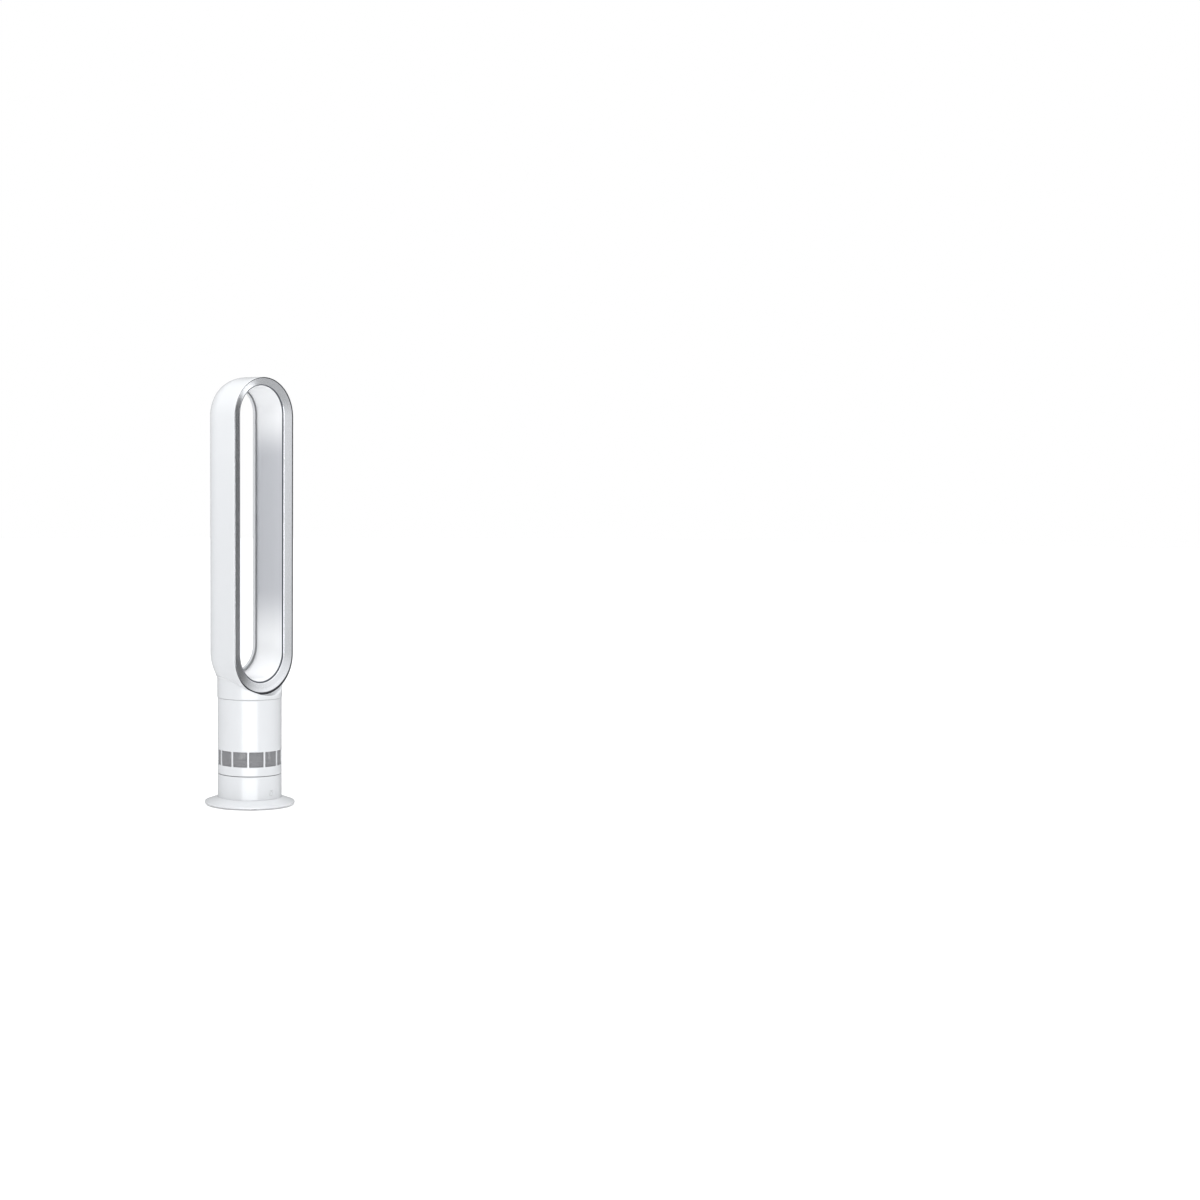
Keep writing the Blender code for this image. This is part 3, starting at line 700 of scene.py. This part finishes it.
def make_lower_housing(looks):
    """Short cylinder with a round hole for the button, its surface a grid with a ringed patch."""
    low, high = HOUSING_LOW.z, HOUSING_HIGH.z - SEAM / 2
    half = 12 * MM                       # half the side of the patch round the button
    hole = BUTTON_R + 0.6 * MM
    across, upper_rows, rest_columns, rings = 8, 6, 152, 5
    around = 4 * across
    work = bmesh.new()
    vertex = body_vertices(work)

    edge = [half * (2 * k / across - 1) for k in range(across + 1)]
    rest = 2 * math.pi * BODY_R - 2 * half
    columns = edge[:-1] + [half + rest * k / rest_columns for k in range(rest_columns + 1)]
    levels = [low, BUTTON_Z - half] + [BUTTON_Z + e for e in edge[1:]]
    levels += [BUTTON_Z + half + (high - BUTTON_Z - half) * k / upper_rows
               for k in range(1, upper_rows + 1)]
    slack = 1e-9
    for u0, u1 in zip(columns, columns[1:]):
        for v0, v1 in zip(levels, levels[1:]):
            beside = u0 >= -half - slack and u1 <= half + slack
            within = v0 >= BUTTON_Z - half - slack and v1 <= BUTTON_Z + half + slack
            if not (beside and within):
                work.faces.new([vertex(u0, v0), vertex(u1, v0), vertex(u1, v1), vertex(u0, v1)])
    square = [(e, -half) for e in edge[:-1]] + [(half, e) for e in edge[:-1]]
    square += [(-e, half) for e in edge[:-1]] + [(-half, -e) for e in edge[:-1]]
    loops = []
    for r in range(rings + 1):
        share = (r / rings) ** 1.6       # rings lie closer near the hole
        loop = []
        for u, v in square:
            angle = math.atan2(v, u)
            cu, cv = hole * math.cos(angle), hole * math.sin(angle)
            loop.append(vertex(cu + (u - cu) * share, BUTTON_Z + cv + (v - cv) * share))
        loops.append(loop)
    for inner, outer in zip(loops, loops[1:]):
        for k in range(around):
            n = (k + 1) % around
            work.faces.new((inner[k], inner[n], outer[n], outer[k]))
    housing = show_work("lower_housing_skin", work, looks["white_shell"])
    thicken(housing, WALL, 0.4 * MM)
    settle(housing, "base", "white_shell", "lower_housing")


def make_button(looks):
    """Dished button with a rounded rim, and a ring and bar mark laid in its face."""
    face_y = BUTTON_LOW.y
    depth = BUTTON_HIGH.y - BUTTON_LOW.y
    dish = [(0.01, 0.45), (2.0, 0.40), (3.6, 0.22), (4.8, 0.04), (5.3, 0.0), (5.7, 0.12),
            (5.95, 0.5), (BUTTON_R / MM, 1.0)]
    flange = [(BUTTON_R / MM, 3.2), (7.2, 3.2), (7.4, 3.4), (7.4, 4.8), (7.2, 5.0), (1.8, 5.2)]
    section = [(radius * MM, height * MM) for radius, height in dish + flange]
    section += [(1.8 * MM, depth), (0.01 * MM, depth)]
    button = lathe("power_button_cap", section, looks["button"], steps=64)
    lay = Matrix.Translation((0, face_y, BUTTON_Z)) @ Matrix.Rotation(math.radians(-90), 4, "X")
    button.data.transform(lay)
    settle(button, "button", "button", "power_button")

    open_ring = np.radians(np.linspace(32, 328, 60))
    profile = ((3.15, 0.22), (3.2, 0.19), (3.6, 0.14), (3.65, 0.17), (3.6, 0.45), (3.2, 0.5))
    ring = [[(radius * MM * math.sin(a), -radius * MM * math.cos(a), height * MM)
             for a in open_ring] for radius, height in profile]
    mark = grid_mesh("power_button_mark", ring, looks["button_mark"], closed_columns=False)
    cap_ends(mark)
    mark.data.transform(lay @ Matrix.Rotation(math.radians(180), 4, "Z"))
    settle(mark, "button", "button")

    work = bmesh.new()
    bmesh.ops.create_cube(work, size=1.0)
    size = Matrix.Diagonal((0.45 * MM, 2.2 * MM, 0.3 * MM, 1))
    bmesh.ops.transform(work, matrix=size, verts=work.verts)
    bmesh.ops.bevel(work, geom=work.edges[:], offset=0.1 * MM, segments=2, affect="EDGES")
    bmesh.ops.translate(work, vec=(0, -3.3 * MM, 0.32 * MM), verts=work.verts)
    bar = show_work("power_button_bar", work, looks["button_mark"])
    bar.data.transform(lay)
    settle(bar, "button", "button")


def cap_ends(item):
    """Close the open ends of a swept piece."""
    work = bmesh.new()
    work.from_mesh(item.data)
    bmesh.ops.holes_fill(work, edges=[e for e in work.edges if e.is_boundary])
    bmesh.ops.recalc_face_normals(work, faces=work.faces)
    work.to_mesh(item.data)
    work.free()


# ---- base ----
def make_base(looks):
    """Shallow dome with a shadow gap under its rim, the cover below it, and five feet."""
    top = PLATE_HIGH.z
    foot = PLATE_LOW.z
    deck = HOUSING_LOW.z - 0.3 * MM      # top of the floor that the housing stands on
    lip = BODY_R + 0.3 * MM
    under = BASE_R - 4.3 * MM            # inside of the rim
    skirt, bore = 78.6 * MM, 12 * MM     # radii inside the dome, and of its middle hole
    below = deck - 2.2 * MM
    section = rounded([(lip, deck, 0), (lip, top, 0.5 * MM),
                       (BASE_R - 3.4 * MM, 8.4 * MM, 9 * MM), (BASE_R, 7.4 * MM, 2.2 * MM),
                       (BASE_R, 3.0 * MM, 1.6 * MM), (BASE_R - 2.0 * MM, foot, 0.6 * MM),
                       (under, foot, 0.4 * MM), (under, 6.2 * MM, 1 * MM),
                       (skirt, 15.2 * MM, 1 * MM), (skirt, below, 0), (bore, below, 0),
                       (bore, deck, 0)], 8)
    plate = lathe("base_plate_skin", section, looks["white_shell"], sharp=50)
    settle(plate, "base", "white_shell", "base_plate")

    hub = 8 * MM
    section = rounded([(hub, COVER_HIGH.z, 0), (COVER_HIGH.x, COVER_HIGH.z, 0),
                       (COVER_HIGH.x, foot, 0.5 * MM), (84 * MM, foot, 0),
                       (hub, foot, 0.4 * MM)], 3)
    cover = lathe("base_cover_skin", section, looks["dark_plastic"])
    settle(cover, "base", "dark_plastic", "base_bottom_cover")

    for k in range(5):
        low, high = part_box(f"rubber_foot_{k + 1}")
        radius = (high.x - low.x) / 2
        groove = 0.4 * MM                # a ring pressed into the sole
        section = rounded([(0.01 * MM, high.z, 0), (radius, high.z, 0.3 * MM),
                           (radius, 0.9 * MM, 0.4 * MM), (radius - 0.9 * MM, 0, 0.4 * MM),
                           (radius - 2.4 * MM, 0, 0.2 * MM), (radius - 2.8 * MM, groove, 0.2 * MM),
                           (radius - 3.6 * MM, groove, 0.2 * MM), (radius - 4.0 * MM, 0, 0.2 * MM),
                           (0.01 * MM, 0, 0)], 3)
        foot_pad = lathe(f"rubber_foot_pad_{k + 1}", section, looks["rubber"], steps=48)
        middle = Matrix.Translation(((low.x + high.x) / 2, (low.y + high.y) / 2, 0))
        foot_pad.data.transform(middle)
        settle(foot_pad, "base", "rubber", f"rubber_foot_{k + 1}")


# ---- finish, stage, light and camera ----
def dress_inner_pieces(looks):
    """Every CAD node that still shows takes the material of its own slot."""
    slots = {part["node"]: part["material_slot"] for part in frame["record"]["subparts"]}
    for name, node in frame["nodes"].items():
        if node.hide_render:
            continue
        node.data.materials.clear()
        node.data.materials.append(looks[slots[name]])
        node.data.polygons.foreach_set("material_index", [0] * len(node.data.polygons))


def make_floor():
    """Pale floor, lifted a little by its own light and left out of reflections."""
    work = bmesh.new()
    bmesh.ops.create_circle(work, cap_ends=True, segments=96, radius=14.0)
    mesh = bpy.data.meshes.new("studio_floor")
    work.to_mesh(mesh)
    work.free()
    floor = bpy.data.objects.new("studio_floor", mesh)
    bpy.context.scene.collection.objects.link(floor)
    floor.location.z = -0.2 * MM
    floor.visible_glossy = False
    look = material("studio_floor", (0.93, 0.93, 0.93), 0.30, grain=0.0, mottle=0.0)
    shader = look.node_tree.nodes["Principled BSDF"]
    shader.inputs["Emission Color"].default_value = (1, 1, 1, 1)
    shader.inputs["Emission Strength"].default_value = 0.30
    mesh.materials.append(look)


def make_world():
    """White studio: soft light from above and the front, with a light box and a dark side.

    The camera sees plain white. Everything else sees the sum of the room, its dark side, the box
    and a small spot, each a function of direction.
    """
    scene = bpy.context.scene
    scene.view_settings.view_transform = "Standard"
    world = bpy.data.worlds.new("white_room")
    scene.world = world
    world.use_nodes = True
    nodes, links = world.node_tree.nodes, world.node_tree.links
    place = nodes.new("ShaderNodeTexCoord").outputs["Generated"]

    def number(operation, *values):
        """One arithmetic step on sockets and plain numbers."""
        made = nodes.new("ShaderNodeMath")
        made.operation = operation
        for k, value in enumerate(values):
            if isinstance(value, (int, float)):
                made.inputs[k].default_value = value
            else:
                links.new(value, made.inputs[k])
        return made.outputs[0]

    def towards(x, y, z):
        """How far a direction points along this vector."""
        made = nodes.new("ShaderNodeVectorMath")
        made.operation = "DOT_PRODUCT"
        made.inputs[1].default_value = (x, y, z)
        links.new(place, made.inputs[0])
        return made.outputs["Value"]

    def ramp(value, span, start, end):
        """Smooth step from start to end while the value crosses the span."""
        made = nodes.new("ShaderNodeMapRange")
        made.interpolation_type = "SMOOTHSTEP"
        for socket, limit in zip(made.inputs[1:5], (*span, start, end)):
            socket.default_value = limit
        links.new(value, made.inputs[0])
        return made.outputs[0]

    height = towards(0, 0, 1)

    # the box: a low band, centred on the direction of box_face
    box_face, box_side = (-0.672, -0.741, 0), (0.741, -0.672, 0)
    box_width, box_rise = (0.42, 0.56), (0.12, 0.18)     # from full to nothing, either way
    box_drop = 0.14                                      # its middle below the horizon
    on_surfaces, more_in_mirrors = 1.2, 2.3              # strength, and what reflections add
    azimuth = number("ABSOLUTE", number("ARCTAN2", towards(*box_side), towards(*box_face)))
    level = number("ABSOLUTE", number("ADD", height, box_drop))
    box = number("MULTIPLY", ramp(azimuth, box_width, 1, 0), ramp(level, box_rise, 1, 0))

    # the room: brightest above and in front, and never below its shade
    slope, base, shade = (-0.22, -0.38, 1.22), 0.39, 0.44
    room = number("MAXIMUM", number("ADD", towards(*slope), base), shade)

    # the dark side, which the ring's near limb mirrors, and the spot that glints at its upper left
    dark_side, dark_depth = (0.995, -0.1, 0), 0.90
    dark = number("MULTIPLY", ramp(towards(*dark_side), (0.80, 0.97), 0, dark_depth),
                  ramp(number("ABSOLUTE", height), (0.10, 0.30), 1, 0))
    lit = number("SUBTRACT", 1.0, dark)
    spot_side, spot_strength = (0.92, -0.13, -0.37), 1.3
    spot = ramp(towards(*spot_side), (0.968, 0.990), 0, spot_strength)

    path = nodes.new("ShaderNodeLightPath")
    mirrored = number("MULTIPLY", path.outputs["Is Glossy Ray"], more_in_mirrors)
    box = number("MULTIPLY", box, number("ADD", mirrored, on_surfaces))
    strength = number("ADD", number("MULTIPLY", room, lit), number("ADD", box, spot))
    glow = nodes["Background"]
    glow.inputs["Color"].default_value = (0.98, 0.99, 1.0, 1)
    links.new(strength, glow.inputs["Strength"])
    seen = nodes.new("ShaderNodeBackground")
    seen.inputs["Color"].default_value = (1, 1, 1, 1)
    pick = nodes.new("ShaderNodeMixShader")
    links.new(path.outputs["Is Camera Ray"], pick.inputs["Fac"])
    links.new(glow.outputs["Background"], pick.inputs[1])
    links.new(seen.outputs["Background"], pick.inputs[2])
    links.new(pick.outputs["Shader"], nodes["World Output"].inputs["Surface"])


def soft_box(name, place, target, size, power):
    """Square lamp near the fan, aimed at a point of it."""
    lamp = bpy.data.lights.new(name, "AREA")
    lamp.size = size
    lamp.energy = power
    item = bpy.data.objects.new(name, lamp)
    bpy.context.scene.collection.objects.link(item)
    item.location = place
    item.rotation_euler = (Vector(target) - item.location).to_track_quat("-Z", "Y").to_euler()
    item.visible_camera = False


def make_camera():
    """Stands in front, to the left of the fan as seen from there, and looks slightly down."""
    azimuth = math.radians(-42.2)
    distance, height, tilt_down = 5.32, 0.869, 4.14
    camera = bpy.data.cameras.new("camera")
    camera.lens = 67.86
    camera.sensor_width = 36
    camera.shift_x = 0.2919
    item = bpy.data.objects.new("camera", camera)
    bpy.context.scene.collection.objects.link(item)
    item.location = (distance * math.sin(azimuth), -distance * math.cos(azimuth), height)
    item.rotation_euler = (math.radians(90 - tilt_down), 0, azimuth)
    bpy.context.scene.camera = item


materials = make_materials()
make_camera()
make_loop(materials)
make_front_ring(materials)
make_neck(materials)
make_body(materials)
make_inlet_mesh(materials)
make_lower_housing(materials)
make_button(materials)
make_base(materials)
dress_inner_pieces(materials)
make_floor()
make_world()
soft_box("top_soft_box", place=(-0.60, -0.15, 1.45), target=(0, 0, 0.98), size=0.5, power=1.8)
